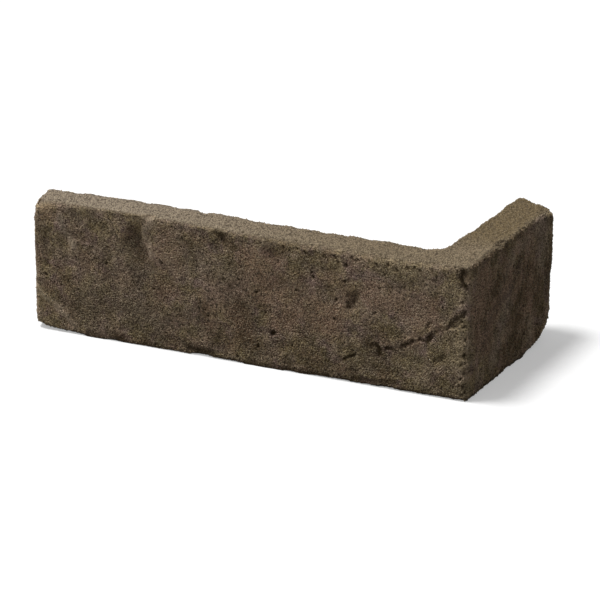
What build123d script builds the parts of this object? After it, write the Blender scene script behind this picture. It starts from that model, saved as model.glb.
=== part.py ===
"""Corner brick slip, cast in concrete: an L of thin wall that wraps the corner of a building.

The frame is in millimetres. X runs along the long leg, Y along the return and Z up. The origin is
the middle of the bounding box on the floor, and the outer corner stands at +X, -Y.
"""

from build123d import *
import os

# Driving sizes
face_length = 226.0  # long outer face, from the outer corner to its end
return_length = 102.5  # outer face of the return, from the outer corner to its end
height = 65.5  # from the lower bed to the upper bed
long_wall = 17.4  # thickness of the long leg
return_wall = 19.3  # thickness of the return
cove_radius = 8.0  # cove where the two back faces meet
long_end_flare = 2.0  # the back of the long leg stands this far past its face
return_end_flare = 3.0  # the back of the return stands this far past its face
end_round = 4.0  # plan radius between an outer face and its end
back_round = 2.5  # plan radius between a back face and its end
corner_round = 2.5  # plan radius of the outer corner

# Wear of the long arrises, measured from the sharp edge along each face
arris_at_corner = 1.3
arris_near_corner = 5.0
arris_in_middle = 3.0
arris_at_ends = 3.6
tip_wear = 9.0  # wear of the upper arris at the very end of each leg
tip_wear_run = 18.0  # length over which the arris is worn down to that
foot_wear = 1.2  # wear of the lower arris of the long face
return_foot_wear = 0.8  # wear of the lower arris of the return
arris_fade = 42.0  # length over which the wear grows, away from the outer corner

# The beds, as the hand-filled mould left them
bed_sag = 1.2  # how far the upper bed dips below its full height
bed_tip_round = 2.5  # how far the upper bed is rounded off at the end of the long leg
foot_lift = 2.4  # how far the lower bed lifts under the end of the long leg
foot_lift_run = 30.0  # length of that lift
broken_run = 38.0  # length of the broken lower corner of the return
broken_rise = 26.0  # height of that broken corner
return_tip_round = 2.5  # radius of the return's upper corner at its end

# Chips along the arrises, each with its length and its reach over both faces
corner_chip = 9.0
corner_chip_reach = 2.4
bed_chip = 10.0
bed_chip_reach = 2.6
foot_chip = 12.0
foot_chip_reach = 2.0

# Shallow hollows in the two outer faces
hollow_across = 10.0
hollow_deep = 0.9

# The crack in the long face, which climbs towards the outer corner
crack_width = 1.8
crack_depth = 0.7

overall_x = face_length + long_end_flare
overall_y = return_length + return_end_flare
corner_x = overall_x / 2
corner_y = -overall_y / 2
long_back_y = corner_y + long_wall
return_back_x = corner_x - return_wall
clear = 2.0  # how far a cutting shape stands outside the body

outward_long = Vector(0, -1, 0)
outward_return = Vector(1, 0, 0)
up = Vector(0, 0, 1)


def on_long(share, rise):
    """A point on the long outer face: share of its length from the outer corner, share of the height."""
    return Vector(corner_x - share * face_length, corner_y, rise * height)


def on_return(share, rise):
    """A point on the return's outer face, in the same two shares."""
    return Vector(corner_x, corner_y + share * return_length, rise * height)


def arris_waste(away, outward, into_bed, stations):
    """The waste outside a worn arris that runs away from the outer corner.

    Each station is the distance along the arris, the wear there and how far the bed has receded.
    """
    start = Vector(corner_x, corner_y, height if into_bed.Z < 0 else 0)
    across = -outward
    with BuildPart() as waste:
        for distance, wear, recess in stations:
            place = start + away * distance + into_bed * recess
            with BuildSketch(Plane(place, x_dir=across, z_dir=across.cross(into_bed))):
                with BuildLine():
                    worn = ThreePointArc(
                        (-0.1 * wear, 1.25 * wear),
                        (0.3 * wear, 0.3 * wear),
                        (1.25 * wear, -0.1 * wear),
                    )
                    outside = -clear - recess
                    Polyline(
                        worn @ 1, (1.25 * wear, outside), (-clear, outside), (-clear, 1.25 * wear), worn @ 0
                    )
                make_face()
        loft()
    return waste.part


def hollow(place, outward, across, deep):
    """A ball that presses a shallow round hollow into a face."""
    radius = (across**2 / 4 + deep**2) / (2 * deep)
    return Pos(place + outward * (radius - deep)) * Sphere(radius)


def chip(place, outward_a, outward_b, length, reach):
    """A ball that bites a chip out of an arris: its length, and its reach over each face."""
    away = (length**2 / 4 - reach**2) / (2 * reach)
    radius = (length**2 / 4 + 2 * away**2) ** 0.5
    return Pos(place + (outward_a + outward_b) * away) * Sphere(radius)


long_upper_wear = [
    (-clear, arris_at_corner, 0.5 * bed_sag),
    (0.35 * arris_fade, 0.8 * arris_near_corner, 0.6 * bed_sag),
    (arris_fade, arris_near_corner, 0.8 * bed_sag),
    (0.5 * face_length, arris_in_middle, 0.7 * bed_sag),
    (face_length - tip_wear_run, arris_at_ends, 0),
    (face_length + clear, tip_wear, 0.4 * bed_sag),
]
long_lower_wear = [
    (-clear, foot_wear, 0),
    (arris_fade, foot_wear, 0),
    (face_length - foot_lift_run, foot_wear, 0),
    (face_length + clear, 2 * foot_wear, 0.8 * foot_lift),
]
return_upper_wear = [
    (-clear, arris_at_corner, 0.5 * bed_sag),
    (0.5 * arris_fade, arris_in_middle, 0.5 * bed_sag),
    (return_length - tip_wear_run, arris_at_ends, 0.5 * bed_sag),
    (return_length + clear, tip_wear, 0.5 * bed_sag),
]
return_lower_wear = [
    (-clear, return_foot_wear, 0),
    (0.5 * arris_fade, return_foot_wear, 0),
    (return_length + clear, return_foot_wear, 0),
]
away_long = -outward_return
away_return = -outward_long
wastes = [
    arris_waste(away_long, outward_long, -up, long_upper_wear),
    arris_waste(away_long, outward_long, up, long_lower_wear),
    arris_waste(away_return, outward_return, -up, return_upper_wear),
    arris_waste(away_return, outward_return, up, return_lower_wear),
]

# Chips along the outer corner, the upper bed and the foot
corner_faces = (outward_long, outward_return)
wastes += [
    chip(on_long(0, 0.91), *corner_faces, corner_chip, corner_chip_reach),
    chip(on_long(0, 0.34), *corner_faces, 0.8 * corner_chip, 0.6 * corner_chip_reach),
    chip(on_long(0, 0.15), *corner_faces, corner_chip, 0.85 * corner_chip_reach),
    chip(on_return(0.38, 1), outward_return, up, 1.8 * bed_chip, 1.4 * bed_chip_reach),
    chip(on_long(0.72, 1), outward_long, up, bed_chip, bed_chip_reach),
]
wastes += [
    chip(on_long(share, 0), outward_long, -up, foot_chip, foot_chip_reach) for share in (0.81, 0.6, 0.18)
]

# Shallow hollows, wide and deep ones by the ends and small ones between
wastes += [
    hollow(on_long(0.75, 0.77), outward_long, 1.9 * hollow_across, 1.7 * hollow_deep),
    hollow(on_long(0.545, 0.9), outward_long, hollow_across, hollow_deep),
    hollow(on_long(0.25, 0.61), outward_long, hollow_across, hollow_deep),
    hollow(on_long(0.92, 0.71), outward_long, 1.2 * hollow_across, hollow_deep),
    hollow(on_long(0.12, 0.24), outward_long, 2 * hollow_across, 0.9 * hollow_deep),
    hollow(on_return(0.55, 0.86), outward_return, 1.5 * hollow_across, 1.1 * hollow_deep),
    hollow(on_return(0.8, 0.2), outward_return, 2.2 * hollow_across, 1.7 * hollow_deep),
]

with BuildPart() as corner_slip:
    # The L in plan, with its cove and its flared, rounded ends
    with BuildSketch() as plan:
        rounded_corners = [
            ((corner_x, corner_y), corner_round),
            ((corner_x - face_length, corner_y), end_round),
            ((corner_x - overall_x, long_back_y), back_round),
            ((return_back_x, long_back_y), cove_radius),
            ((return_back_x, corner_y + overall_y), back_round),
            ((corner_x, corner_y + return_length), end_round),
        ]
        with BuildLine():
            Polyline(*[place for place, radius in rounded_corners], close=True)
        make_face()
        for place, radius in rounded_corners:
            fillet(plan.vertices().sort_by_distance(place)[0], radius)
    extrude(amount=height)

    # The long leg in elevation: a dipping upper bed, a rounded tip and a lifted foot
    face_end_x = corner_x - face_length
    return_top = height - 0.5 * bed_sag
    with BuildSketch(Plane.XZ):
        with BuildLine():
            upper_bed = Spline(
                (return_back_x, return_top),
                (corner_x - 0.3 * face_length, height - bed_sag),
                (corner_x - 0.5 * face_length, height - 0.8 * bed_sag),
                (corner_x - 0.66 * face_length, height - 0.1 * bed_sag),
                (corner_x - 0.84 * face_length, height - 0.05 * bed_sag),
                (face_end_x + bed_tip_round, height - 0.4 * bed_sag),
            )
            tip = TangentArc(
                upper_bed @ 1,
                (corner_x - overall_x, height - 0.4 * bed_sag - bed_tip_round),
                tangent=upper_bed % 1,
            )
            foot = Spline(
                (corner_x - overall_x, foot_lift),
                (face_end_x + 0.35 * foot_lift_run, 0.45 * foot_lift),
                (face_end_x + foot_lift_run, 0),
            )
            Line(tip @ 1, foot @ 0)
            Polyline(foot @ 1, (corner_x, 0), (corner_x, return_top), upper_bed @ 0)
        make_face()
    extrude(amount=overall_y, both=True, mode=Mode.INTERSECT)

    # The broken lower corner and the rounded upper corner of the return follow its slanted end
    end_slant = Vector(-return_wall, return_end_flare, 0).normalized()
    end_edge = Vector(corner_x, corner_y + return_length, 0) - end_slant * clear
    with BuildSketch(Plane(end_edge, x_dir=(0, 1, 0), z_dir=(1, 0, 0))):
        with BuildLine():
            broken = Spline(
                (-broken_run, -0.1),
                (-0.68 * broken_run, 0.06 * broken_rise),
                (-0.37 * broken_run, 0.14 * broken_rise),
                (-0.2 * broken_run, 0.29 * broken_rise),
                (-0.07 * broken_run, 0.5 * broken_rise),
                (0.3, broken_rise),
            )
            Polyline(broken @ 1, (clear, broken_rise), (clear, -clear), (-broken_run, -clear), broken @ 0)
        make_face()
        with BuildLine():
            tip_arc = ThreePointArc(
                (-1.3 * return_tip_round, return_top + 0.3),
                (-0.3 * return_tip_round, return_top - 0.3 * return_tip_round),
                (0.3, return_top - 1.3 * return_tip_round),
            )
            Polyline(
                tip_arc @ 1,
                (clear, return_top - 1.3 * return_tip_round),
                (clear, height + clear),
                (-1.3 * return_tip_round, height + clear),
                tip_arc @ 0,
            )
        make_face()
    extrude(amount=3 * return_wall, dir=end_slant, mode=Mode.SUBTRACT)

    for waste in wastes:
        add(waste, mode=Mode.SUBTRACT)

    # The crack: a thin round-bottomed groove along a crooked line
    crack_radius = (crack_width**2 / 4 + crack_depth**2) / (2 * crack_depth)
    lift = outward_long * (crack_radius - crack_depth)
    with BuildLine() as crack:
        Spline(
            on_long(0.179, 0.3) + lift,
            on_long(0.139, 0.34) + lift,
            on_long(0.099, 0.405) + lift,
            on_long(0.081, 0.43) + lift,
            on_long(0.064, 0.51) + lift,
            on_long(0.037, 0.53) + lift,
            on_long(0.014, 0.61) + lift,
        )
    with BuildSketch(Plane(crack.line @ 0, z_dir=crack.line % 0)):
        Circle(crack_radius)
    sweep(path=crack.line, mode=Mode.SUBTRACT)

corner_slip.part.label = "corner_slip"
os.makedirs("parts", exist_ok=True)
export_step(corner_slip.part, "parts/corner_slip.step")
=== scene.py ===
# %% [markdown]
# # A concrete corner brick slip
#
# The real piece is one casting: a thin L of pigmented concrete that wraps the corner of a wall, so
# that the wall looks as if it were built of whole bricks. Its two outer faces were pressed by a
# worn brick in the mould, and its beds and back were left by the trowel. This lesson starts from
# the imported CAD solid, which already has the true sizes, the cove and the worn arrises, and gives
# it the skin of real concrete.

# %% Load the frame
import math

import bmesh
import bpy
import numpy as np
from mathutils import Matrix, Vector, noise


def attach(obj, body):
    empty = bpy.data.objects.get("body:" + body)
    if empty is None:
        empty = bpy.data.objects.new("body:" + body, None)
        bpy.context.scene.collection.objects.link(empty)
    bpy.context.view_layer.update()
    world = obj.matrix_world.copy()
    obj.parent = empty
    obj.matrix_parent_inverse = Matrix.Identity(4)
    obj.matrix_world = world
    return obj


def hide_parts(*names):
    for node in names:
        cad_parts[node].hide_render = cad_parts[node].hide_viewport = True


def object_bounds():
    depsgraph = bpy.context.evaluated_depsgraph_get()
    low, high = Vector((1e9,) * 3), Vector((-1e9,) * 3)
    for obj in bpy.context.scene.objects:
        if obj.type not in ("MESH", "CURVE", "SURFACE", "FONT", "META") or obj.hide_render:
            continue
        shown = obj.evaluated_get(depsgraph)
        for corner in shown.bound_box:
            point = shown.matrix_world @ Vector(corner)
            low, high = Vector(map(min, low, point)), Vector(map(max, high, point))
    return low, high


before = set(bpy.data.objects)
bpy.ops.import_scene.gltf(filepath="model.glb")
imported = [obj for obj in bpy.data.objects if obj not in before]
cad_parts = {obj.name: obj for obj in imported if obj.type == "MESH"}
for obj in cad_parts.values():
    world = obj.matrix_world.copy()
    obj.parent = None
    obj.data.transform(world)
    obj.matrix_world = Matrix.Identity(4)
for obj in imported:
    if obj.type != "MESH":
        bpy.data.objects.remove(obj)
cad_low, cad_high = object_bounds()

MM = 0.001
corner_x, corner_y = cad_high.x, cad_low.y  # the outer corner, seen in plan
height = cad_high.z
print("CAD box", [round(v / MM, 2) for v in (*cad_low, *cad_high)])

# %% [markdown]
# ## The camera
#
# The photograph was taken from a step to the right of the long face, looking down by about twenty
# degrees. The edges of the real piece hardly converge, so the lens is long and the camera stands
# far off. The turn, the tilt and the distance could be found by trial, but it is surer to work
# them out from the corners of the slip, and then to write them here as plain numbers.

# %% Camera
turn, tilt = math.radians(-26.29), math.radians(19.64)
aim = Vector((corner_x - 0.115, corner_y, 0.0325))  # near the middle of the long face
aside, below, away = 0.0278, 0.0011, 1.6214  # metres from there to the camera
long_lens = 210  # millimetres


def new_piece(name, data):
    """An object, linked to the scene."""
    piece = bpy.data.objects.new(name, data)
    bpy.context.scene.collection.objects.link(piece)
    return piece


ahead = Vector((math.sin(turn) * math.cos(tilt), math.cos(turn) * math.cos(tilt), -math.sin(tilt)))
to_right = Vector((math.cos(turn), -math.sin(turn), 0))
upward = to_right.cross(ahead)
eye = aim + to_right * aside - upward * below - ahead * away

camera = new_piece("studio_camera", bpy.data.cameras.new("studio_camera"))
camera.data.lens = long_lens
camera.data.clip_end = 20
camera.matrix_world = Matrix(
    [(*axis, place) for *axis, place in zip(to_right, upward, -ahead, eye)] + [(0, 0, 0, 1)]
)
bpy.context.scene.camera = camera
bpy.context.scene.view_settings.view_transform = "Standard"
print("camera stands at", [round(v, 3) for v in eye])

# %% [markdown]
# ## Helpers for node trees
#
# Materials and Geometry Nodes are both trees of nodes. Adding a node takes three steps: create it,
# choose its settings, and fill its sockets. One small function does all three, and a few shorter
# ones stand on it, so that the cells below can read like a recipe.

# %% Node helpers
def fill(tree, node, sockets):
    """Fills a node's sockets with values, outputs, or nodes, which stand for their first output."""
    for name, value in sockets.items():
        if isinstance(value, bpy.types.Node):
            value = value.outputs[0]
        if isinstance(value, bpy.types.NodeSocket):
            tree.links.new(value, node.inputs[name])
        else:
            node.inputs[name].default_value = value


def put(tree, kind, sockets=None, **settings):
    """Adds a node with its settings and its filled sockets."""
    made = tree.nodes.new(kind)
    for name, value in settings.items():
        setattr(made, name, value)
    fill(tree, made, sockets or {})
    return made


def calc(tree, operation, a, b=0.0, c=0.0, clamp=False):
    """A Math node's result."""
    return put(tree, "ShaderNodeMath", {0: a, 1: b, 2: c}, operation=operation, use_clamp=clamp)


def times(tree, a, b):
    """The product of two numbers."""
    return calc(tree, "MULTIPLY", a, b)


def line(tree, value, slope, start):
    """A value times a slope, and a start added."""
    return calc(tree, "MULTIPLY_ADD", value, slope, start)


def vector_calc(tree, operation, a, b):
    """A Vector Math node's vector. For SCALE, b is the number to scale by."""
    second = 3 if operation == "SCALE" else 1
    return put(tree, "ShaderNodeVectorMath", {0: a, second: b}, operation=operation)


def ramp(tree, value, low, high, to_low=0.0, to_high=1.0):
    """Maps low..high onto to_low..to_high, with soft ends."""
    sockets = {0: value, 1: low, 2: high, 3: to_low, 4: to_high}
    return put(tree, "ShaderNodeMapRange", sockets, interpolation_type="SMOOTHSTEP", clamp=True)


def blend(tree, share, a, b, mode="MIX"):
    """Two colours mixed by a share."""
    return put(
        tree, "ShaderNodeMix", {0: share, 6: a, 7: b}, data_type="RGBA", blend_type=mode, clamp_factor=True
    ).outputs[2]


def open_group(kind, name, inputs, outputs):
    """A node group. An input is given by its start value, or by the name of its sort."""
    tree = bpy.data.node_groups.new(name, kind)
    for label, value in inputs.items():
        sort = value if isinstance(value, str) else {float: "Float", int: "Int"}[type(value)]
        socket = tree.interface.new_socket(label, in_out="INPUT", socket_type="NodeSocket" + sort)
        if sort != value:
            socket.default_value = value
    for label, sort in outputs.items():
        tree.interface.new_socket(label, in_out="OUTPUT", socket_type="NodeSocket" + sort)
    return tree, tree.nodes.new("NodeGroupInput"), tree.nodes.new("NodeGroupOutput")


def seen_directly(tree):
    """1 for rays from the camera, from gloss or through glass, and 0 for all others."""
    rays = put(tree, "ShaderNodeLightPath")
    seen = calc(tree, "MAXIMUM", rays.outputs["Is Camera Ray"], rays.outputs["Is Glossy Ray"])
    return calc(tree, "MAXIMUM", seen, rays.outputs["Is Transmission Ray"])


# %% [markdown]
# ## The floor and the light
#
# The piece was photographed on white, lit from high on the left and a little from behind, with a
# shadow that is firm near the slip and soft further off. A sun lamp gives such an edge when it is
# as wide as a soft box. The floor looks white to the camera, but a white floor would also throw a
# lot of light back at the dark faces. So its material is a quiet grey for light that bounces, and
# white with a real shadow for rays that come from the camera, from gloss or through glass. The room
# works the same way: white where it is seen, and as a light dim, and stronger from the left.

# %% Floor
floor_reach = 6.0  # metres
quiet_grey, lit_white, own_glow = 0.12, 0.73, 0.35

around = [(-1, -1), (1, -1), (1, 1), (-1, 1)]
floor_mesh = bpy.data.meshes.new("studio_floor")
floor_mesh.from_pydata([(x * floor_reach, y * floor_reach, 0) for x, y in around], [], [(0, 1, 2, 3)])
floor = new_piece("studio_floor", floor_mesh)

floor_finish = bpy.data.materials.new("studio_floor")
floor_finish.use_nodes = True
tree = floor_finish.node_tree
tree.nodes.clear()
quiet = put(tree, "ShaderNodeBsdfDiffuse", {"Color": (quiet_grey, quiet_grey, quiet_grey, 1)})
lit_part = put(tree, "ShaderNodeBsdfDiffuse", {"Color": (lit_white, lit_white, lit_white, 1)})
glow_part = put(tree, "ShaderNodeEmission", {"Color": (1, 1, 1, 1), "Strength": own_glow})
white = put(tree, "ShaderNodeAddShader", {0: lit_part, 1: glow_part})
either = put(tree, "ShaderNodeMixShader", {0: seen_directly(tree), 1: quiet, 2: white})
put(tree, "ShaderNodeOutputMaterial", {"Surface": either})
floor_mesh.materials.append(floor_finish)
print("floor is", 2 * floor_reach, "m wide")

# %% Sun
sun_strength, sun_width = 2.4, math.radians(17)
light_rise, light_back = math.radians(70.9), math.radians(5)

to_left = Vector((-math.cos(turn), math.sin(turn), 0))
backwards = Vector((math.sin(turn), math.cos(turn), 0))  # level, and away from the camera
level = to_left * math.cos(light_back) + backwards * math.sin(light_back)
towards_light = level * math.cos(light_rise) + Vector((0, 0, math.sin(light_rise)))
sun = new_piece("high_left_light", bpy.data.lights.new("high_left_light", "SUN"))
sun.data.energy = sun_strength
sun.data.angle = sun_width
sun.rotation_euler = towards_light.to_track_quat("Z", "Y").to_euler()
print("light comes from", [round(v, 2) for v in towards_light])

# %% Room
room_light, extra_from_left = 0.20, 0.65

world = bpy.data.worlds.new("studio_room")
bpy.context.scene.world = world
world.use_nodes = True
tree = world.node_tree
tree.nodes.clear()
way = put(tree, "ShaderNodeTexCoord").outputs["Generated"]
leftness = put(tree, "ShaderNodeVectorMath", {0: way, 1: to_left}, operation="DOT_PRODUCT").outputs["Value"]
soft_room = line(tree, calc(tree, "MAXIMUM", leftness, 0.0), extra_from_left, room_light)
room_strength = put(tree, "ShaderNodeMix", {0: seen_directly(tree), 2: soft_room, 3: 1.0})
room = put(tree, "ShaderNodeBackground", {"Color": (1, 1, 1, 1), "Strength": room_strength})
put(tree, "ShaderNodeOutputWorld", {"Surface": room})
print("room gives", room_light, "to", round(room_light + extra_from_left, 2))

# %% [markdown]
# ## A fine skin over the CAD solid
#
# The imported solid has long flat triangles, and there is nothing on a flat triangle to push in or
# out. Subdividing would keep the odd shapes of those triangles. A voxel remesh instead lays an
# even net of small squares over the whole casting, and softens every hard edge by about half a
# millimetre, which is just what a mould does.

# %% Remesh a merged copy
voxel = 0.00045
merge_reach = 1e-6


def as_plain_mesh(piece, name):
    """The piece's shape with its modifiers applied, as a mesh."""
    graph = bpy.context.evaluated_depsgraph_get()
    done = piece.evaluated_get(graph)
    made = bpy.data.meshes.new_from_object(done, preserve_all_data_layers=True, depsgraph=graph)
    made.name = name
    return made


solid = bmesh.new()
solid.from_mesh(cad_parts["corner_slip"].data)
bmesh.ops.remove_doubles(solid, verts=solid.verts, dist=merge_reach)
rough_cast = bpy.data.meshes.new("rough_cast")
solid.to_mesh(rough_cast)
solid.free()
casting = new_piece("casting", rough_cast)
remesh = casting.modifiers.new("even_net", "REMESH")
remesh.mode = "VOXEL"
remesh.voxel_size = voxel
skin = as_plain_mesh(casting, "skin")
bpy.data.objects.remove(casting)
print("skin has", len(skin.vertices), "points and", len(skin.polygons), "faces")

# %% [markdown]
# ## Marks that were made once
#
# Worn brick is not evenly rough. The mould has its own story: a hollow near one end, a crooked
# crack by the corner, dents along the rims. Such marks do not follow a rule, so they are pressed
# one by one, each as a path with a width and a depth. The points of the net are first nudged by
# noise, so that no mark has a clean outline. The noise gets a seed, or each run would nudge the
# points another way.

# %% Read the net into arrays
count = len(skin.vertices)
points = np.empty(count * 3)
skin.vertices.foreach_get("co", points)
points = points.reshape(-1, 3)
outward = np.empty(count * 3)
skin.vertex_normals.foreach_get("vector", outward)
outward = outward.reshape(-1, 3)

relief = np.zeros(count)  # how far each point moves outwards, in metres
dirt_and_shade = np.zeros(count)  # how dark the dirt and the painted shade in a mark are, from 0 to 1
rubbed = np.zeros(count)  # how far the cement skin is worn off, from 0 to 1
lightness = np.zeros(count)  # how much paler or darker the pigment is, with painted highlight on ridges and painted shade in hollows, from -1 to 1
redness = np.zeros(count)  # from -1 for khaki to 1 for red
greyness = np.zeros(count)  # how grey it is, from 0 to 1

# %% Nudge the points
nudge_size, nudge_reach = 3.5 * MM, 0.9 * MM
noise.seed_set(7)
nudges = np.array([noise.noise_vector(Vector(p) / nudge_size) for p in points])
loose = points + nudges * nudge_reach
print("points are nudged by up to", round(float(np.abs(loose - points).max()) / MM, 2), "mm")

# %% Places on the slip, in millimetres from the outer corner
long_wall, return_wall, return_length = 17.4, 19.3, 102.5
long_end_inset, long_end_lean, return_end_lean = 1.7, 0.1, 0.134


def at(x, y, z):
    """A point x and y from the outer corner, and z up."""
    return np.array((corner_x + x * MM, corner_y + y * MM, z * MM))


def on_long(s, z):
    """A point on the long face: s along it from the outer corner, and z up."""
    return at(-s, 0, z)


def on_return(t, z):
    """A point on the return's face, in the same way."""
    return at(0, t, z)


def on_end(d, z):
    """A point on the free end of the long leg: d behind the long face."""
    return np.array((cad_low.x + (long_end_inset - long_end_lean * d) * MM, corner_y + d * MM, z * MM))


def on_back(s, z):
    """A point on the back of the long leg."""
    return at(-s, long_wall, z)


def on_return_back(t, z):
    """A point on the back of the return."""
    return at(-return_wall, t, z)


def on_far_end(d, z):
    """A point on the free end of the return."""
    return at(-d, return_length + return_end_lean * d, z)


# %% How a mark or a cloud is pressed
def soft_step(value, low, high):
    """0 below low, 1 above high, and a soft S between."""
    share = np.clip((value - low) / (high - low), 0, 1)
    return share * share * (3 - 2 * share)


def nearness(path, width):
    """The points within the width of a path, and for each 1 on the path, falling softly to 0."""
    path = np.array(path)
    low, high = path.min(axis=0) - width, path.max(axis=0) + width
    inside = np.flatnonzero(np.all((loose > low) & (loose < high), axis=1))
    near = loose[inside]
    best = np.full(len(near), width)
    if len(path) == 1:
        best = np.minimum(best, np.linalg.norm(near - path[0], axis=1))
    for a, b in zip(path[:-1], path[1:]):
        run = b - a
        share = np.clip((near - a) @ run / (run @ run), 0, 1)
        best = np.minimum(best, np.linalg.norm(near - a - share[:, None] * run, axis=1))
    return inside, (1 - (best / width) ** 2) ** 2


def mark(place, path, width, depth, dirt_and_shade_amount=0.0, rub=0.0):
    """Presses a path into a face. A negative depth raises a ridge, and rubbing bares its sand."""
    inside, share = nearness([place(*step) for step in path], width * MM)
    relief[inside] -= depth * MM * share
    # The darkening of a mark is dirt, and painted shade in its recess.
    dirt_and_shade[inside] = np.maximum(dirt_and_shade[inside], dirt_and_shade_amount * share)
    rubbed[inside] = np.maximum(rubbed[inside], rub * share)


def cloud(place, path, width, light=0.0, red=0.0, grey=0.0):
    """Tints a broad soft patch of a face."""
    inside, share = nearness([place(*step) for step in path], width * MM)
    lightness[inside] += light * share
    redness[inside] += red * share
    greyness[inside] += grey * share


def each(press, place, rows):
    """Presses every mark or cloud of a list. A row is a path and then the other numbers."""
    for path, *numbers in rows:
        press(place, path, *numbers)


# %% [markdown]
# ## Clouds of pigment
#
# The oxide in the mix never spreads evenly. Some clouds are broad and can be told apart, so each is
# placed one by one as a path with a width, and made paler, redder or greyer. Between them the pigment
# drifts as it likes, which is noise of a few sizes, and on the return it ran down in streaks.
# Clouds that follow a ridge or a hollow pressed further on are painted light: paler on the ridge as painted
# highlight, darker in the hollow as painted shade.

# %% Clouds on the long face
each(cloud, on_long, [  # the path, the width, and how much paler, redder and greyer
    ([(157, 57), (152, 50)], 13, 0.6, 0.4, 0.3),
    ([(178, 40), (168, 34)], 13, 0.15, 0, 0.8),
    ([(134, 44), (119, 38)], 16, 0.4, 0, 0.7),
    ([(107, 52), (98, 40)], 15, 0.35, 0.6),
    ([(90, 23), (70, 27)], 13, 0.3, 0.5),
    ([(46, 47), (22, 40)], 13, 0.4, 0.9, 0.3),
    ([(42, 59), (10, 56)], 10, 0.2, -1.2),
    ([(7, 50), (6, 32)], 9, 0.2, -1.0),
    ([(219, 26), (221, 8)], 13, 0.45),
    ([(204, 60), (201, 56)], 7, 0.8, 0, 0.9),
    ([(224, 61), (216, 57)], 9, 0.9),
    ([(210, 55), (205, 45)], 6, 0.5, 0, 0.4),
    ([(197, 17), (175, 20), (160, 14)], 15, -0.5, 0, 0.8),
    # Darker in the hollow pressed at about 170 mm along: painted shade.
    ([(171, 54), (168.5, 45)], 9, -0.25),
    ([(171, 42), (167, 46)], 8, -0.8),
    # Paler along three ridges pressed below: worn cement, and painted highlight on the lit ridge.
    ([(162, 63), (165.5, 56), (163, 50), (161, 45)], 3.5, 1.4, 0, 0.3),
    ([(210.5, 59), (209.1, 52.3), (207.4, 49.4), (203.3, 44.6)], 3.5, 1.4, 0, 0.7),
    ([(224, 20.2), (218.2, 15.5), (209.4, 9.8), (204, 4.5)], 3.0, 1.1),
    ([(116, 36), (114, 18)], 9, -0.35, 0.6),
    ([(50, 20), (44, 13)], 8, -0.7),
    ([(26, 12), (5, 26), (6, 8)], 12, 0.3, -1.0),
    ([(14, 21)], 6, -0.9),
    ([(129, 12), (100, 8), (60, 6)], 9, -0.4, 0.4),
    ([(146, 13), (132, 12)], 8, 0.35, 0.4),
    ([(160, 30), (120, 28), (70, 40)], 26, 0.12, 0.45),
    ([(195, 45), (190, 32)], 14, 0.2, 0, 0.2),
    ([(222, 55), (224, 42)], 7, -0.4),
    ([(207, 50), (190, 30)], 30, 0.3),
    ([(66, 46), (24, 46)], 24, 0.2),
    ([(42, 10), (8, 8)], 16, -0.35),
])
print("clouds touch", int(np.count_nonzero(lightness)), "points")

# %% Clouds on the return
each(cloud, on_return, [
    # Many strokes follow the ridges and hollows pressed on the return further on: the pale ones are painted
    # highlight, and the dark ones painted shade.
    ([(30, 64), (42, 62), (45, 57)], 9, -1.1),
    ([(58, 63), (74, 63)], 8, -1.1),
    ([(86, 60), (88, 44)], 14, 0.7, -0.5, 0.9),
    ([(72, 57), (56, 57), (46, 51)], 7, 1.2, 0, 0.5),
    ([(61, 49), (53, 44)], 6, -0.9),
    ([(20, 52), (16, 40), (22, 24)], 12, 0.1, 0.9),
    ([(50, 43), (36, 36), (24, 28)], 8, 0.5, 0.6),
    ([(39, 46), (27, 42), (17, 34)], 7, -0.8, 0.5),
    ([(44, 32), (38, 20), (32, 12)], 9, 0.4, -0.6, 0.9),
    ([(60, 28), (55, 14), (47, 4)], 11, -1.0, 0.3),
    ([(80, 14), (73, 5)], 8, 1.0, 0, 0.8),
    ([(72, 42), (80, 24)], 14, -0.4, 0.7),
    ([(96, 44), (94, 24)], 9, -0.6),
    ([(25, 10), (12, 5)], 9, 0.1, -0.8),
    ([(14, 64), (8, 60)], 6, -0.6),
    ([(50, 32)], 80, 0.25, 0.8),
    ([(8, 58), (12, 12)], 15, 0.45, 0.3),
])
print("and then", int(np.count_nonzero(lightness)), "points")

# %% Drift and streaks
def noise_at_points(noise_size, shift=0):
    """Noise of a size in millimetres, from -1 to 1. Each shift gives another pattern."""
    moved_by = Vector((shift, shift, shift))
    return np.array([noise.noise(Vector(p) / (noise_size * MM) + moved_by) for p in points])


streak_size = np.array((2.2, 2.2, 7.0)) * MM
streak_amount = 1.5

lightness += 0.7 * noise_at_points(5.0, 3)
lightness += 0.6 * noise_at_points(10.0, 11)
redness += 0.9 * noise_at_points(8.0, 23)
streaks = np.array([noise.noise(Vector(p)) for p in points / streak_size])
lightness += streak_amount * streaks * soft_step(outward[:, 0], 0.3, 0.8)
lightness = np.clip(lightness, -1, 1)
redness = np.clip(redness, -1, 1)
greyness = np.clip(greyness, 0, 1)
print("mean lightness", round(float(lightness.mean()), 2), "and redness", round(float(redness.mean()), 2))
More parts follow.
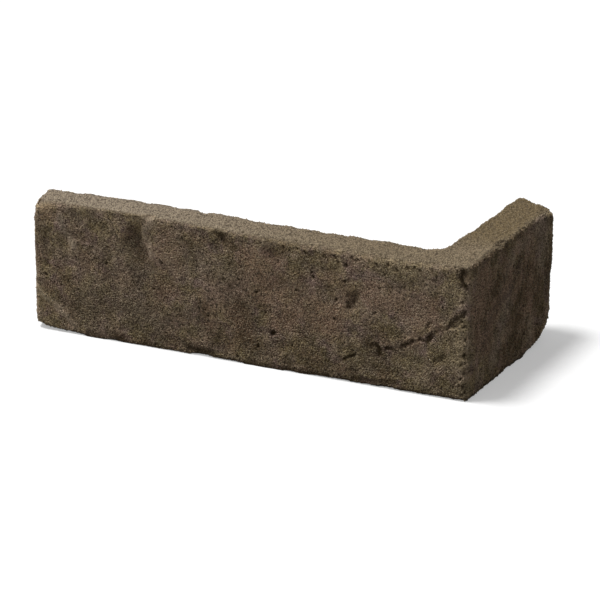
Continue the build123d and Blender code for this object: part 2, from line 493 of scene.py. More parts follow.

# %% [markdown]
# ## Pressing the marks
#
# Now the marks themselves, face by face. Each line is one mark: where it runs, how wide and how
# deep it is in millimetres, and how much dirt and painted shade it holds. Small ones that repeat,
# such as the pits along a rim, are loops over a few places.

# %% Ridges and hollows of the long face
long_ridge = [(160.6, 64.2), (164.6, 59), (166.2, 55.5), (163.7, 51.3), (162.5, 48.4), (160.9, 44.7)]
each(mark, on_long, [  # the path, the width, the depth, the dirt and painted shade, and the rubbing
    ([(210.5, 59), (209.1, 52.3), (207.4, 49.4), (203.3, 44.6)], 2.2, -0.60, 0, 0.9),
    ([(208.5, 60), (205, 54), (202.5, 49)], 4.0, 0.45, 0.15),
    ([(203.7, 61.2), (202.7, 58.8), (200.6, 56.6)], 3.2, 0.35, 0.25),
    (long_ridge, 2.4, -0.65, 0, 0.8),
    ([(170.5, 53), (168.5, 47), (166.5, 43)], 6.5, 0.38),
    ([(160, 43.6), (152, 43.9)], 4.5, -0.25, 0, 0.15),
    ([(224, 20.2), (218.2, 15.5), (209.4, 9.8), (204, 4.5)], 1.9, -0.55, 0, 0.9),
    ([(219, 43.8), (217, 38.1), (217.7, 33.4)], 3.0, 0.45, 0.15),
    ([(188, 40), (185, 32), (182, 25)], 6.0, 0.40, 0.08),
    ([(181, 53.5), (177.9, 49)], 5.0, -0.35, 0, 0.1),
    ([(127.1, 62), (124.5, 60)], 3.0, 0.80, 0.5),
    ([(123, 58.7), (118.3, 55.5)], 3.0, 0.5, 0.3),
    ([(115.3, 28.8), (110.1, 19.7)], 9.0, 0.55, 0.1),
    ([(105.5, 54), (104.7, 57.5), (102.1, 60.3), (96.9, 61.5)], 2.4, -0.38, 0, 0.25),
    ([(99, 55.5)], 5.5, 0.45, 0.06),
    ([(76.3, 51.1), (71.2, 52.9), (64.1, 55)], 1.6, 0.25, 0.12),
    ([(69.6, 44.9), (68.1, 42.2)], 2.4, 0.50, 0.3),
    ([(55.4, 43.4), (57, 39.8), (59, 36.8)], 3.2, 0.85, 0.45),
    ([(57.5, 41.5), (59.5, 42.5)], 2.6, 0.3, 0.25),
    ([(150, 15), (120, 34), (95, 44)], 12.0, -0.35),
    ([(30, 52), (12, 56)], 14.0, -0.30),
])
print("ridges and hollows reach", round(relief.min() / MM, 2), "to", round(relief.max() / MM, 2), "mm")

# %% The rounded free end of the long leg
each(mark, on_long, [([(227, 67)], 14.0, 1.4), ([(228, 66)], 7.0, 1.8), ([(227, -1)], 8.0, 1.4)])
mark(on_end, [(9, 60), (9, 40)], 8.0, -0.7)
print("the end is cut back by up to", round(-relief.min() / MM, 2), "mm")

# %% The foot rim and the crack of the long face
each(mark, on_long, [
    ([(186.5, 3.4), (177.8, 2.0)], 3.0, 0.50, 0.6),
    ([(142, 2.6), (129.8, 2.4)], 3.2, 0.50, 0.65),
    ([(128, 0.2), (90, 0.6), (73.6, 1.2), (60, 0.4)], 1.9, 0.35, 0.6),
    ([(57, 2.0), (47.8, 2.6), (35.5, 3.6)], 2.6, 0.40, 0.45),
])
crack = [  # each stretch with its width, depth, and dirt and painted shade
    ([(61.6, 11.1), (59, 12.6), (56.6, 13.9)], 1.4, 0.6, 0.95),
    ([(45.4, 20.8), (44.4, 19), (43.4, 16.6)], 2.1, 0.65, 0.9),
    ([(48.4, 20.2), (46.2, 20.6)], 1.4, 0.25, 0.7),
    ([(40.5, 19.5), (38.1, 19.4), (35.8, 19.4)], 1.4, 0.35, 0.8),
    ([(33.4, 21.0), (30, 23), (27, 25.2)], 1.6, 0.45, 0.9),
    ([(24.2, 26.5), (23.3, 26.8)], 1.5, 0.25, 0.8),
    ([(19.6, 26.2), (18.5, 28), (17.8, 30.2)], 1.8, 0.55, 0.9),
    ([(20.4, 31.6), (20, 34), (18.6, 35.8)], 1.3, 0.2, 0.7),
    ([(16, 31.4), (11.5, 33.6), (9.8, 34.4)], 1.4, 0.3, 0.6),
    ([(8.6, 36), (7.4, 37.4), (5.4, 39.6), (2, 43)], 1.7, 0.35, 0.7),
    ([(11.3, 20.9), (14.5, 18)], 2.6, 0.55, 0.35),
]
each(mark, on_long, crack)
for s, z in [(35.6, 20.2), (26.0, 25.6), (17.8, 31.9), (10.0, 34.4)]:
    mark(on_long, [(s, z)], 1.8, -0.45)  # crumbs that bridge the crack
mark(on_long, [(50, 12.8), (46, 11.4)], 2.4, -0.30)
print("the crack has", len(crack), "stretches")

# %% Pits along the upper rim, and single pores
rim_pits = [
    (93, 61), (86, 61.5), (82, 60), (76, 61.2), (72, 59.5), (67, 60), (65.6, 58), (61, 56.6), (58, 61),
    (55.4, 60.4), (49.4, 61), (45.8, 59.4), (40, 60.5), (36, 58.5), (30, 60.8), (24, 60), (18, 61),
    (12, 60.2),
]
for s, z in rim_pits:
    mark(on_long, [(s, z), (s - 0.6, z - 0.8)], 1.1, 0.5, dirt_and_shade_amount=0.65)
pores = [  # along, up, and the radius
    (106.3, 36.6, 0.9), (132.8, 23.8, 0.8), (131.7, 20.9, 0.9), (98.1, 17.7, 1.45), (105.9, 10.4, 0.9),
    (78.2, 50.0, 0.9), (76.9, 48.0, 0.9), (66.5, 29.7, 0.8), (88.4, 13.0, 0.7), (60.9, 56.4, 0.9),
    (65.3, 39.3, 0.8), (59.2, 36.5, 0.8),
]
for s, z, radius in pores:
    mark(on_long, [(s, z)], 1.5 * radius, 1.0 * radius, dirt_and_shade_amount=1.0)
print(len(rim_pits), "pits and", len(pores), "pores")

# %% The return
each(mark, on_return, [
    ([(36, 62), (44, 60), (48, 57)], 5.0, 0.55),
    ([(60, 64), (74, 62)], 6.0, 0.5),
    ([(10, 66)], 5.0, 0.5),
    ([(69, 56.8), (57, 56.4), (46, 51), (38, 42)], 3.6, -0.50, 0, 0.25),
    ([(60, 49), (53, 46)], 3.0, 0.45, 0.1),
    ([(52, 41), (35, 36.5), (22, 29), (19, 22)], 6.0, -0.45, 0, 0.10),
    ([(38, 45), (28, 41), (18, 36)], 4.5, 0.35),
    ([(70, 40), (60, 26), (54, 12)], 8.0, 0.60, 0.1),
    ([(67.3, 12.2), (62.4, 6.3)], 1.6, 0.5, 0.6),
    ([(79, 13), (73.5, 7.5), (71, 3.5)], 2.6, -0.50, 0, 0.3),
    ([(83.6, 7.6)], 6.0, 0.45),
    ([(86, 20.6)], 1.3, -0.30, 0, 1.0),
    ([(92, 50), (90, 30)], 6.0, 0.35),
    ([(105, 27), (104, 12)], 11.0, 1.4),
    ([(47, 0.8)], 6.0, 0.7),
    ([(64, 0.8)], 5.0, -0.6),
])
print("share of points with a mark", round(float((relief != 0).mean()), 2))

# %% The outer corner
each(mark, on_long, [
    ([(3.4, 62.8), (2.2, 60.4)], 3.0, 1.3, 1.0),
    ([(3.6, 59.2), (2.8, 57.4)], 2.2, 1.0, 0.9),
    ([(2.4, 55.9), (0.8, 54.8)], 2.2, 1.2, 1.0),
    ([(0.4, 58.5)], 2.4, -0.8, 0, 0.4),
])
corner_pits = [  # along, up, and the width
    (2.4, 48.2, 1.2), (0.5, 43.5, 1.4), (1.8, 36.5, 1.2), (0.4, 30.2, 1.6), (1.2, 22.1, 2.0),
    (2.6, 18.4, 1.1), (0.6, 14.8, 1.9), (3.0, 11.3, 1.3), (1.4, 7.5, 1.9), (0.3, 4.6, 1.5),
    (2.3, 3.3, 1.2),
]
for s, z, width in corner_pits:
    mark(on_long, [(s, z), (s + 0.4, z - 0.7)], width, 0.4 * width, dirt_and_shade_amount=0.9)
print(len(corner_pits), "pits along the corner")

# %% The back rims and the ends
back_rim = [  # along, the width and the depth
    (209, 6, 0.45), (172, 4.5, 0.7), (157, 7, 0.65), (142, 4.5, 0.95), (116.5, 6, 0.5), (108, 5, 0.4),
    (98, 5, -0.3), (78.5, 5, 0.9), (62, 6, -0.4), (48, 8, -0.45), (28, 7, 0.6),
]
for s, width, depth in back_rim:
    mark(on_back, [(s, 65)], width, depth)
mark(on_return_back, [(28, 65), (42, 65)], 6.0, -0.6)
mark(on_return_back, [(88, 65)], 6.0, -0.7)
mark(on_far_end, [(9, 65.5), (3, 65.5)], 8.0, 1.6)
mark(on_end, [(3, 65.5), (12, 65.5)], 6.0, 1.3)
each(mark, on_long, [
    ([(195, 0.6), (181, 0.4)], 6.0, -0.9),
    ([(112, 0.4), (96, 0.2)], 6.0, -0.6),
    ([(83, 0.3)], 5.0, -0.4),
])
print("marks reach", round(relief.min() / MM, 2), "to", round(relief.max() / MM, 2), "mm")

# %% [markdown]
# ## Where the skin is coarse and where it is smooth
#
# A few more numbers go with every point of the net: how worn and how gritty it is, whether the
# trowel left it, how likely a pore is and how much sand it holds. The worn arrises are the coarsest,
# because there the cement skin has gone and the sand shows. All are stored as attributes. Geometry
# Nodes and the material both read them, so shape and colour agree.

# %% Distances from the edges, in millimetres
behind_long = (loose[:, 1] - corner_y) / MM  # how deep a point lies behind the long face
behind_return = (corner_x - loose[:, 0]) / MM
below_top = (height - loose[:, 2]) / MM
above_foot = loose[:, 2] / MM
into_wall = np.minimum(behind_long, behind_return)

# %% Wear, dirt, painted shade along the foot, and beds that darken towards the return
face = 1 - soft_step(into_wall, 0.6, 4.0)  # 1 on the two outer faces
on_corner = 1 - soft_step(np.hypot(behind_long, behind_return), 1.5, 6.5)
on_top_arris = 1 - soft_step(np.hypot(into_wall, below_top), 1.0, 5.0)
worn = np.maximum(np.maximum(0.35 * on_corner, 0.2 * on_top_arris), rubbed)
# Painted shade: a dark band along the foot of the outer faces, where the rounded arris turns under.
painted_foot_shade = (1 - soft_step(above_foot, 0.5, 2.2)) * (1 - soft_step(into_wall, 1.0, 3.0))
dirt_and_shade = np.maximum(dirt_and_shade, 0.7 * painted_foot_shade)
bed = soft_step(np.abs(outward[:, 2]), 0.5, 0.9)
calm = soft_step(behind_return, 12, 24) * (1 - soft_step(behind_return, 95, 120))
calm *= soft_step(above_foot, 20, 28)  # the smoother stretch of the long face
trowelled = np.maximum(np.maximum(bed, 1 - face), 0.3 * calm)
# How much darker each bed is towards the return.
damp = 0.7 * soft_step(loose[:, 0] - corner_x, -0.20, -0.04)
damp += 0.4 * soft_step(loose[:, 1] - corner_y, 0.02, 0.05)  # the beds darken towards the return
print("share of the skin on the outer faces", round(float((face > 0.5).mean()), 2))

# %% Lumps of the back rim and of the outer corner
rim_lump, corner_lump, lump_size = 0.55, 0.9, 4.5  # millimetres
behind_back = np.minimum(np.abs(behind_long - long_wall), np.abs(behind_return - return_wall))
on_back_edge = (1 - soft_step(np.hypot(behind_back, below_top), 1.0, 5.0)) * (into_wall > 10)
nubs = noise_at_points(lump_size)
mid_bed = soft_step(behind_return, 50, 80) * (1 - soft_step(behind_return, 170, 200))
relief += on_back_edge * (rim_lump * np.clip(nubs, 0, 1) + rim_lump * mid_bed) * MM
relief += on_corner * corner_lump * nubs * MM
print("nubs run from", round(float(nubs.min()), 2), "to", round(float(nubs.max()), 2))

# %% Grit, sand and pores
by_the_foot = (1 - soft_step(behind_return, 26, 40)) * (1 - soft_step(above_foot, 17, 27)) * face
grit = 0.60 + 0.35 * face + 0.90 * on_corner + 0.25 * on_top_arris + 0.10 * by_the_foot
sandiness = 0.45 + 0.55 * face + 0.3 * (outward[:, 2] > 0.6) + 0.4 * on_corner + 0.2 * by_the_foot
sandiness *= 1 - 0.9 * np.clip(1.6 * dirt_and_shade, 0, 1)
gritty_arris = on_top_arris * face * (1 - 0.85 * soft_step(behind_return, 85, 115))
pore_chance = np.clip(0.05 + 0.03 * face + 0.5 * gritty_arris + 0.5 * on_corner, 0, 1)
print("mean grit", round(float(grit.mean()), 2), "and sandiness", round(float(sandiness.mean()), 2))

# %% Zones, one for each piece of sand
BY_CORNER, ON_RETURN, ON_TOP_BED, ELSEWHERE, BY_END = 1, 2, 3, 4, 5
looks_up, looks_forward = outward[:, 2] > 0.6, outward[:, 1] < -0.5
looks_right = (outward[:, 0] > 0.5) & (behind_return < 8)
half_way = -1.5 * MM  # splits the long face into two pieces of sand
zone = np.select([looks_up, looks_forward, looks_right], [ON_TOP_BED, BY_CORNER, ON_RETURN], ELSEWHERE)
zone[(behind_long > 8) & (zone == BY_CORNER)] = ELSEWHERE
zone[(zone == BY_CORNER) & (points[:, 0] < half_way)] = BY_END

numbers = dict(relief=relief, dirt_and_shade=dirt_and_shade, worn=worn, grit=grit, pore_chance=pore_chance, bed=bed)
numbers.update(damp=damp, zone=zone, sandiness=sandiness, trowelled=trowelled)
numbers.update(lightness=lightness, redness=redness, greyness=greyness)
for name, values in numbers.items():
    skin.attributes.new(name, "FLOAT", "POINT").data.foreach_set("value", values)
print("points in each zone", np.bincount(zone)[1:].tolist())

# %% [markdown]
# ## The cast surface, with Geometry Nodes
#
# Everything that repeats over the whole skin is a rule, so it is a node tree: broad swells from
# the hand-filled mould, lumps, sand grit, and pores left by air bubbles. Each point moves along
# its own normal. For the pores, points are scattered over the skin, and every point of the net
# asks for the nearest one and dips if it is close. At the end the skin is held inside the box of
# the CAD model, so that it never grows and never sinks through the floor.

# %% The inputs of the cast_surface tree
cast_surface, given, result = open_group("GeometryNodeTree", "cast_surface", {
    "Geometry": "Geometry",
    "Swell Size": 16.0 * MM,
    "Swell Depth": 0.30 * MM,
    "Lump Size": 4.5 * MM,
    "Lump Depth": 0.30 * MM,
    "Grit Size": 2.0 * MM,
    "Grit Depth": 0.42 * MM,
    "Sand Size": 0.8 * MM,
    "Sand Depth": 0.10 * MM,
    "Pores per Square Metre": 60000.0,
    "Smallest Pore": 0.45 * MM,
    "Largest Pore": 1.25 * MM,
    "Pore Depth": 0.55 * MM,
    "Set Back": 0.25 * MM,
    "Lowest Corner": "Vector",
    "Highest Corner": "Vector",
    "Seed": 7,
    "Material": "Material",
}, {"Geometry": "Geometry"})
tree, size = cast_surface, given.outputs
print("cast_surface has", len(size) - 1, "inputs")


# %% Swells, lumps and grit
def stored(tree, name):
    """A number stored on the points, read by either kind of tree."""
    if tree.type == "GEOMETRY":
        return put(tree, "GeometryNodeInputNamedAttribute", {"Name": name}, data_type="FLOAT")
    return put(tree, "ShaderNodeAttribute", attribute_name=name).outputs["Fac"]


def store(tree, geometry, name, value, domain="POINT"):
    """Stores a number on every point or instance, and hands on the geometry."""
    sockets = {"Geometry": geometry, "Name": name, "Value": value}
    return put(tree, "GeometryNodeStoreNamedAttribute", sockets, data_type="FLOAT", domain=domain)


def position(tree):
    """Where each point is."""
    return put(tree, "GeometryNodeInputPosition")


def scatter_over(tree, size, density):
    """Points scattered over the geometry."""
    sockets = {"Mesh": size["Geometry"], "Density": density, "Seed": size["Seed"]}
    return put(tree, "GeometryNodeDistributePointsOnFaces", sockets)


def waves(tree, wave_size, detail, shift):
    """Noise of the given size at each point, from -1 to 1. Each shift gives another pattern."""
    moved = vector_calc(tree, "ADD", position(tree), (shift, shift * 0.7, shift * 1.3))
    sockets = {"Vector": moved, "Detail": detail, "Roughness": 0.55}
    sockets["Scale"] = calc(tree, "DIVIDE", 1.0, wave_size)
    return line(tree, put(tree, "ShaderNodeTexNoise", sockets), 2.0, -1.0)


swell = times(tree, waves(tree, size["Swell Size"], 1.0, 1.0), size["Swell Depth"])
lump = times(tree, waves(tree, size["Lump Size"], 2.0, 2.0), size["Lump Depth"])
sand = times(tree, waves(tree, size["Sand Size"], 1.0, 3.0), size["Sand Depth"])
grit_scale = calc(tree, "DIVIDE", 1.0, size["Grit Size"])
cells = put(tree, "ShaderNodeTexVoronoi", {"Vector": position(tree), "Scale": grit_scale})
grain_top = calc(tree, "SUBTRACT", 0.45, cells.outputs["Distance"])
grains = times(tree, grain_top, size["Grit Depth"])
coarse = times(tree, calc(tree, "ADD", calc(tree, "ADD", lump, sand), grains), stored(tree, "grit"))
height_out = calc(tree, "ADD", calc(tree, "ADD", swell, coarse), stored(tree, "relief"))
print("the relief takes", len(tree.nodes), "nodes")


# %% Pores
def random_number(tree, seed):
    """A random number from 0 to 1 for each element."""
    return put(tree, "FunctionNodeRandomValue", {2: 0.0, 3: 1.0, "Seed": seed}, data_type="FLOAT").outputs[1]


pore_density = times(tree, size["Pores per Square Metre"], stored(tree, "pore_chance"))
scatter = scatter_over(tree, size, pore_density)
mostly_small = calc(tree, "POWER", random_number(tree, size["Seed"]), 2.5)
pore_range = calc(tree, "SUBTRACT", size["Largest Pore"], size["Smallest Pore"])
pore_radius = line(tree, mostly_small, pore_range, size["Smallest Pore"])
sized = store(tree, scatter.outputs["Points"], "pore_radius", pore_radius)
here = position(tree)
nearest = put(tree, "GeometryNodeSampleNearest", {"Geometry": sized, "Sample Position": here}, domain="POINT")


def of_nearest(value, sort):
    """A value of the nearest pore."""
    sockets = {"Geometry": sized, "Value": value, "Index": nearest}
    return put(tree, "GeometryNodeSampleIndex", sockets, data_type=sort, domain="POINT")


pore_middle = of_nearest(position(tree), "FLOAT_VECTOR")
radius_there = of_nearest(stored(tree, "pore_radius"), "FLOAT")
gap = put(tree, "ShaderNodeVectorMath", {0: here, 1: pore_middle}, operation="DISTANCE").outputs["Value"]
in_pore = ramp(tree, calc(tree, "DIVIDE", gap, radius_there), 0.35, 1.0, 1.0, 0.0)
depth_share = calc(tree, "DIVIDE", size["Pore Depth"], size["Largest Pore"])
depth_here = times(tree, times(tree, in_pore, radius_there), depth_share)
print("with its pores,", len(tree.nodes), "nodes")


# %% Push the skin out and hold it inside the CAD box
def held_inside(tree, place, size):
    """A place, moved to the box's side where it lies outside."""
    held = vector_calc(tree, "MAXIMUM", place, size["Lowest Corner"])
    return vector_calc(tree, "MINIMUM", held, size["Highest Corner"])


def dress(tree, geometry, size, result):
    """Sets the material, and ends the tree."""
    dressed = put(tree, "GeometryNodeSetMaterial", {"Geometry": geometry, "Material": size["Material"]})
    fill(tree, result, {"Geometry": dressed})


total = calc(tree, "SUBTRACT", calc(tree, "SUBTRACT", height_out, size["Set Back"]), depth_here)
step_out = vector_calc(tree, "SCALE", put(tree, "GeometryNodeInputNormal"), total)
held = held_inside(tree, vector_calc(tree, "ADD", here, step_out), size)
kept = store(tree, size["Geometry"], "pore", in_pore)
pushed = put(tree, "GeometryNodeSetPosition", {"Geometry": kept, "Position": held})
real = put(tree, "GeometryNodeRealizeInstances", {"Geometry": pushed})
dress(tree, real, size, result)
print("cast_surface has", len(tree.nodes), "nodes")

# %% [markdown]
# ## Grains of sand
#
# Up close the faces look like coarse sandpaper, because the sand in the mix stands out of the paste.
# A net fine enough for single grains would be far too heavy. So the grains are small eight-sided
# stones of their own, scattered by Geometry Nodes and a little more than half sunk in the skin. Each
# keeps the attributes of the spot it sits on, and gets a tone of its own.

# %% The inputs of the sand_coat tree
sand_coat, given, result = open_group("GeometryNodeTree", "sand_coat", {
    "Geometry": "Geometry",
    "Zone": 1.0,
    "Grains per Square Metre": 1500000.0,
    "Smallest Grain": 0.34 * MM,
    "Largest Grain": 0.72 * MM,
    "Sunk Share": 0.20,
    "Lowest Corner": "Vector",
    "Highest Corner": "Vector",
    "Seed": 3,
    "Material": "Material",
}, {"Geometry": "Geometry"})
tree, size = sand_coat, given.outputs
print("sand_coat has", len(size) - 1, "inputs")

# %% Where the grains lie
in_zone = put(
    tree, "FunctionNodeCompare", {0: stored(tree, "zone"), 1: size["Zone"], "Epsilon": 0.4},
    data_type="FLOAT", operation="EQUAL",
)
sand_here = times(tree, stored(tree, "sandiness"), in_zone)
density = times(tree, size["Grains per Square Metre"], sand_here)
density = times(tree, density, line(tree, stored(tree, "pore"), -0.9, 1.0))
scatter = scatter_over(tree, size, density)
print("the scatter takes", len(tree.nodes), "nodes")


# %% The stones
def random_vector(tree, low, high, seed):
    """A random vector for each element, with each part between the same two numbers."""
    sockets = {0: (low, low, low), 1: (high, high, high), "Seed": seed}
    return put(tree, "FunctionNodeRandomValue", sockets, data_type="FLOAT_VECTOR")


size_seed, stretch_seed, turn_seed, tone_seed = 11, 12, 13, 14
full_turn = 6.283
luck = calc(tree, "POWER", random_number(tree, size_seed), 1.8)
grain_range = calc(tree, "SUBTRACT", size["Largest Grain"], size["Smallest Grain"])
radius = line(tree, luck, grain_range, size["Smallest Grain"])
stone = put(tree, "GeometryNodeMeshUVSphere", {"Segments": 4, "Rings": 2, "Radius": 1.0})
stone_size = vector_calc(tree, "SCALE", random_vector(tree, 0.75, 1.2, stretch_seed), radius)
sink_depth = times(tree, radius, times(tree, size["Sunk Share"], -1.0))
sink = vector_calc(tree, "SCALE", scatter.outputs["Normal"], sink_depth)
sunk = put(tree, "GeometryNodeSetPosition", {"Geometry": scatter.outputs["Points"], "Offset": sink})
laid = {"Points": sunk, "Instance": stone, "Scale": stone_size}
laid["Rotation"] = random_vector(tree, 0, full_turn, turn_seed)
stones = put(tree, "GeometryNodeInstanceOnPoints", laid)
toned = store(tree, stones, "tone", random_number(tree, tone_seed), "INSTANCE")
real = put(tree, "GeometryNodeRealizeInstances", {"Geometry": toned})
held = held_inside(tree, position(tree), size)
inside = put(tree, "GeometryNodeSetPosition", {"Geometry": real, "Position": held})
smooth = put(tree, "GeometryNodeSetShadeSmooth", {"Geometry": inside})
dress(tree, smooth, size, result)
print("sand_coat has", len(tree.nodes), "nodes")

# %% [markdown]
# ## The concrete
#
# Pigmented concrete is cement paste, pale and dark sand, pinholes, and clouds of oxide that never
# mix evenly. Each of these is a shader group with its own sizes, so another finish could use it
# with other numbers. The groups give masks and colours only, and the material itself keeps the
# Principled shader.

# %% Group: sand grains
def random_cells(tree, vector, cell_size):
    """The distance from the middle of a cell, three random numbers of the cell, and the scale."""
    scale = calc(tree, "DIVIDE", 1.0, cell_size)
    cells = put(tree, "ShaderNodeTexVoronoi", {"Vector": vector, "Scale": scale}).outputs
    return cells["Distance"], put(tree, "ShaderNodeSeparateColor", {0: cells["Color"]}).outputs, scale


sand_grains, given, result = open_group(
    "ShaderNodeTree",
    "sand_grains",
    {"Vector": "Vector", "Grain Size": 0.7 * MM, "Share": 0.25},
    {"Pale": "Float", "Dark": "Float", "Height": "Float"},
)
tree, size = sand_grains, given.outputs
distance, luck, _ = random_cells(tree, size["Vector"], size["Grain Size"])
body = ramp(tree, distance, 0.15, 0.6, 1.0, 0.0)
pale_from = calc(tree, "SUBTRACT", 1.0, size["Share"])
pale = times(tree, calc(tree, "GREATER_THAN", luck[0], pale_from), body)
dark = times(tree, calc(tree, "LESS_THAN", luck[0], size["Share"]), body)
fill(tree, result, {"Pale": pale, "Dark": dark, "Height": body})
print("sand_grains has", len(tree.nodes), "nodes")

# %% Group: pinholes
pinholes, given, result = open_group("ShaderNodeTree", "pinholes", {
    "Vector": "Vector", "Spacing": 1.6 * MM, "Radius": 0.45 * MM, "Share": 0.08,
}, {"Mask": "Float"})
tree, size = pinholes, given.outputs
distance, luck, scale = random_cells(tree, size["Vector"], size["Spacing"])
rim = times(tree, size["Radius"], scale)
spot = ramp(tree, distance, times(tree, rim, 0.5), rim, 1.0, 0.0)
chosen = calc(tree, "LESS_THAN", luck[1], size["Share"])
fill(tree, result, {"Mask": times(tree, spot, chosen)})
print("pinholes has", len(tree.nodes), "nodes")

# %% Group: pigment clouds
pigment_clouds, given, result = open_group("ShaderNodeTree", "pigment_clouds", {
    "Vector": "Vector",
    "Cloud Size": 8.0 * MM,
    "Ground": "Color", "Second": "Color", "Third": "Color",
    "Swing": 0.3,
}, {"Color": "Color"})
tree, size = pigment_clouds, given.outputs


def cloud_noise(tree, shift, scale, detail):
    """Soft noise from 0 to 1. Each shift gives another pattern."""
    moved = vector_calc(tree, "ADD", size["Vector"], shift)
    sockets = {"Vector": moved, "Scale": scale, "Detail": detail, "Roughness": 0.6}
    return put(tree, "ShaderNodeTexNoise", sockets)


scale = calc(tree, "DIVIDE", 1.0, size["Cloud Size"])
first = cloud_noise(tree, (0, 0, 0), scale, 4.0)
second = cloud_noise(tree, (0.31, 0.17, 0.23), scale, 3.0)
mottle = cloud_noise(tree, (0.57, 0.41, 0.73), times(tree, scale, 2.2), 3.0)
colour = blend(tree, ramp(tree, first, 0.40, 0.62), size["Ground"], size["Second"])
colour = blend(tree, ramp(tree, second, 0.48, 0.66), colour, size["Third"])
swing = times(tree, calc(tree, "SUBTRACT", mottle, 0.5), times(tree, size["Swing"], 5.0))
mottled = vector_calc(tree, "SCALE", colour, calc(tree, "ADD", swing, 1.0))
fill(tree, result, {"Color": mottled})
print("pigment_clouds has", len(tree.nodes), "nodes")

# %% [markdown]
# ## The material
#
# The casting and the loose stones share one recipe, so that a stone never looks stuck on: first the
# paste with its clouds and tints, then what only the skin or only the stones have, then fine sand,
# rubbed spots, pinholes, and dirt and painted shade over all of it.

# %% Colours
ground_brown, second_brown = (0.312, 0.240, 0.135, 1), (0.350, 0.263, 0.184, 1)
third_brown, red_brown = (0.288, 0.204, 0.166, 1), (0.333, 0.221, 0.147, 1)
khaki_brown, grey_brown = (0.322, 0.255, 0.150, 1), (0.285, 0.222, 0.165, 1)
bed_brown, damp_brown = (0.372, 0.306, 0.231, 1), (0.177, 0.127, 0.058, 1)
# Painted shade and darker cement: the skin between the stones is darkened, more where the mould pressed it
# than where it was trowelled.
pressed_shade, trowelled_shade = (0.52, 0.50, 0.49, 1), (0.68, 0.67, 0.66, 1)
stone_gain, pale_stone, dark_stone = (1.18, 1.18, 1.16, 1), (0.50, 0.42, 0.30, 1), (0.085, 0.064, 0.045, 1)
pale_grain, dark_grain = (0.45, 0.37, 0.26, 1), (0.06, 0.045, 0.032, 1)
pit_brown, bare_brown = (0.045, 0.034, 0.024, 1), (0.50, 0.41, 0.285, 1)
# The dark brown of dirt, and of painted shade in marks, pores and along the foot.
dirt_and_shade_brown = (0.030, 0.019, 0.007, 1)


# %% The paste with its clouds and tints
def group_node(tree, group, sockets):
    """A node group, placed in a material."""
    return put(tree, "ShaderNodeGroup", sockets, node_tree=group)


def tinted_paste(tree, place):
    """Clouds of oxide, made redder, greyer or paler, with the paler bed, which darkens towards the return."""
    cloud_looks = {"Vector": place, "Cloud Size": 9.0 * MM, "Swing": 0.42}
    cloud_looks.update({"Ground": ground_brown, "Second": second_brown, "Third": third_brown})
    clouds = group_node(tree, pigment_clouds, cloud_looks)
    hue = stored(tree, "redness")
    colour = blend(tree, calc(tree, "MULTIPLY", hue, 0.85, clamp=True), clouds, red_brown)
    colour = blend(tree, calc(tree, "MULTIPLY", hue, -0.70, clamp=True), colour, khaki_brown)
    colour = blend(tree, times(tree, stored(tree, "greyness"), 0.65), colour, grey_brown)
    # Lightness holds pigment clouds, and also painted highlight on ridges and painted shade in hollows.
    light = stored(tree, "lightness")
    paler = line(tree, light, 0.48, 1.0)
    paler_blue = line(tree, light, 0.56, 1.0)
    paler = put(tree, "ShaderNodeCombineXYZ", {0: paler, 1: paler, 2: paler_blue})
    colour = vector_calc(tree, "MULTIPLY", colour, paler)
    bed_share = stored(tree, "bed")
    colour = blend(tree, bed_share, colour, bed_brown)
    dampness = times(tree, bed_share, stored(tree, "damp"))
    return blend(tree, times(tree, dampness, 0.75), colour, damp_brown)


# %% What only the skin or only the stones have
def skin_between_grains(tree, place, colour):
    """The skin between the stones is darker, as painted shade of the stones and as darker cement, and has
    fine dark pits.
    """
    smoothness = stored(tree, "trowelled")
    shade = blend(tree, smoothness, pressed_shade, trowelled_shade)
    colour = blend(tree, 1.0, colour, shade, mode="MULTIPLY")
    pit_looks = {"Vector": place, "Scale": 1 / (0.9 * MM), "Detail": 1.0}
    pits = ramp(tree, put(tree, "ShaderNodeTexNoise", pit_looks), 0.48, 0.62)
    pits = times(tree, pits, line(tree, smoothness, -0.15, 0.85))
    return blend(tree, pits, colour, pit_brown)


def toned_stones(tree, colour):
    """Most stones follow the paste, some are pale and some are dark."""
    colour = blend(tree, 1.0, colour, stone_gain, mode="MULTIPLY")
    tone = stored(tree, "tone")
    bed_share = stored(tree, "bed")
    fewer_pale = line(tree, bed_share, -0.6, 1.0)
    more_dark = line(tree, bed_share, 0.8, 1.0)
    pale = times(tree, ramp(tree, tone, 0.55, 1.0, 0.0, 0.48), fewer_pale)
    dark = times(tree, ramp(tree, tone, 0.0, 0.35, 0.52, 0.0), more_dark)
    return blend(tree, dark, blend(tree, pale, colour, pale_stone), dark_stone)


# %% Fine sand, rubbed spots, pinholes, and dirt and painted shade
def dirt_and_shade_mask(tree, place):
    """Dirt and painted shade in the marks and pores, and pinholes where the face is coarse."""
    share = line(tree, stored(tree, "pore_chance"), 0.6, 0.15)
    holes = group_node(tree, pinholes, {"Vector": place, "Radius": 0.5 * MM, "Share": share})
    coarseness = line(tree, stored(tree, "trowelled"), -0.85, 0.85)
    in_marks = calc(tree, "MAXIMUM", stored(tree, "dirt_and_shade"), times(tree, stored(tree, "pore"), 0.75))
    return calc(tree, "MAXIMUM", in_marks, times(tree, holes, coarseness))


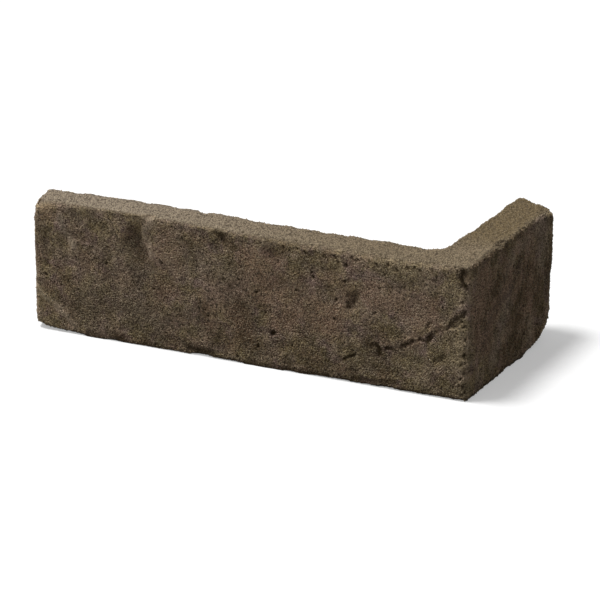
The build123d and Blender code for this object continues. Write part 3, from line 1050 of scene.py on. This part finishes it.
def dress_concrete(name, of_sand):
    """The concrete's material, for the skin or for the loose stones."""
    made = bpy.data.materials.new(name)
    made.use_nodes = True
    tree = made.node_tree
    tree.nodes.clear()
    place = put(tree, "ShaderNodeTexCoord").outputs["Object"]
    colour = tinted_paste(tree, place)
    colour = toned_stones(tree, colour) if of_sand else skin_between_grains(tree, place, colour)
    grains = group_node(tree, sand_grains, {"Vector": place, "Grain Size": 0.55 * MM, "Share": 0.30})
    colour = blend(tree, times(tree, grains.outputs["Pale"], 0.36), colour, pale_grain)
    colour = blend(tree, times(tree, grains.outputs["Dark"], 0.40), colour, dark_grain)
    colour = blend(tree, times(tree, stored(tree, "worn"), 0.45), colour, bare_brown)
    # Dirt and painted shade darken the marks, the pores and the foot.
    colour = blend(tree, dirt_and_shade_mask(tree, place), colour, dirt_and_shade_brown)
    bump_looks = {"Strength": 0.5, "Distance": 0.12 * MM, "Height": grains.outputs["Height"]}
    bump = put(tree, "ShaderNodeBump", bump_looks)
    skin_shader = put(
        tree, "ShaderNodeBsdfPrincipled",
        {"Base Color": colour, "Roughness": 0.95, "Specular IOR Level": 0.06, "Normal": bump},
    )
    put(tree, "ShaderNodeOutputMaterial", {"Surface": skin_shader})
    print(name, "has", len(tree.nodes), "nodes")
    return made


concrete = dress_concrete("cast_concrete", of_sand=False)
bare_sand = dress_concrete("bare_sand", of_sand=True)

# %% [markdown]
# ## From the trees to plain meshes
#
# A modifier runs the cast_surface tree over the skin, and a second one thins the net where it is
# flat. The result is made a plain mesh. Each piece of sand then starts from that mesh, with the
# sand_coat tree on it, and keeps only the stones.

# %% Run the cast_surface tree over the skin
triangle_budget = 190000


def run_tree(piece, tree, values):
    """Puts a node tree on a piece as a modifier, and fills its inputs by name."""
    modifier = piece.modifiers.new(tree.name, "NODES")
    modifier.node_group = tree
    sockets = {item.name: item for item in tree.interface.items_tree if item.in_out == "INPUT"}
    for name, value in values.items():
        modifier[sockets[name].identifier] = value


def triangles_of(mesh):
    """How many triangles the mesh has."""
    return sum(len(p.vertices) - 2 for p in mesh.polygons)


box_corners = {"Lowest Corner": tuple(cad_low), "Highest Corner": tuple(cad_high)}
slip = new_piece("slip_casting", skin)
run_tree(slip, cast_surface, {"Material": concrete, **box_corners})
thin = slip.modifiers.new("fewer_faces", "DECIMATE")
thin.ratio = triangle_budget / (2 * len(skin.polygons))
body_mesh = as_plain_mesh(slip, "slip_casting")
bpy.data.objects.remove(slip)
slip = new_piece("slip_casting", body_mesh)
body_mesh.shade_smooth()

# %% Hold the thinned net inside the box again
corners = np.empty(len(body_mesh.vertices) * 3)
body_mesh.vertices.foreach_get("co", corners)
corners = np.clip(corners.reshape(-1, 3), tuple(cad_low), tuple(cad_high))
body_mesh.vertices.foreach_set("co", corners.ravel())
print("slip_casting has", triangles_of(body_mesh), "triangles")

# %% Scatter the sand
grains_per_square_metre = 1900000.0
quick_share = 1.0
sand_pieces = []
for number, name, density_share, smallest, largest in [
    (BY_CORNER, "sand_by_the_corner", 1.75, 0.28, 0.60),
    (BY_END, "sand_by_the_end", 1.75, 0.28, 0.60),
    (ON_RETURN, "sand_on_return", 1.0, 0.34, 0.72),
    (ON_TOP_BED, "sand_on_top_bed", 1.0, 0.34, 0.72),
    (ELSEWHERE, "sand_on_back_and_foot", 0.5, 0.34, 0.72),
]:
    sand = new_piece(name, body_mesh)
    run_tree(sand, sand_coat, {
        "Zone": float(number),
        "Grains per Square Metre": grains_per_square_metre * density_share * quick_share,
        "Smallest Grain": smallest * MM,
        "Largest Grain": largest * MM,
        "Seed": number,
        "Material": bare_sand,
        **box_corners,
    })
    sand_mesh = as_plain_mesh(sand, name)
    bpy.data.objects.remove(sand)
    sand_pieces.append(new_piece(name, sand_mesh))
    print(name, "has", triangles_of(sand_mesh), "triangles")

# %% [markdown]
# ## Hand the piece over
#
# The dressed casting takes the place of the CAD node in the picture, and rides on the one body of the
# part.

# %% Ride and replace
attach(slip, "root")
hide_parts("corner_slip")
for sand in sand_pieces:
    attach(sand, "root")
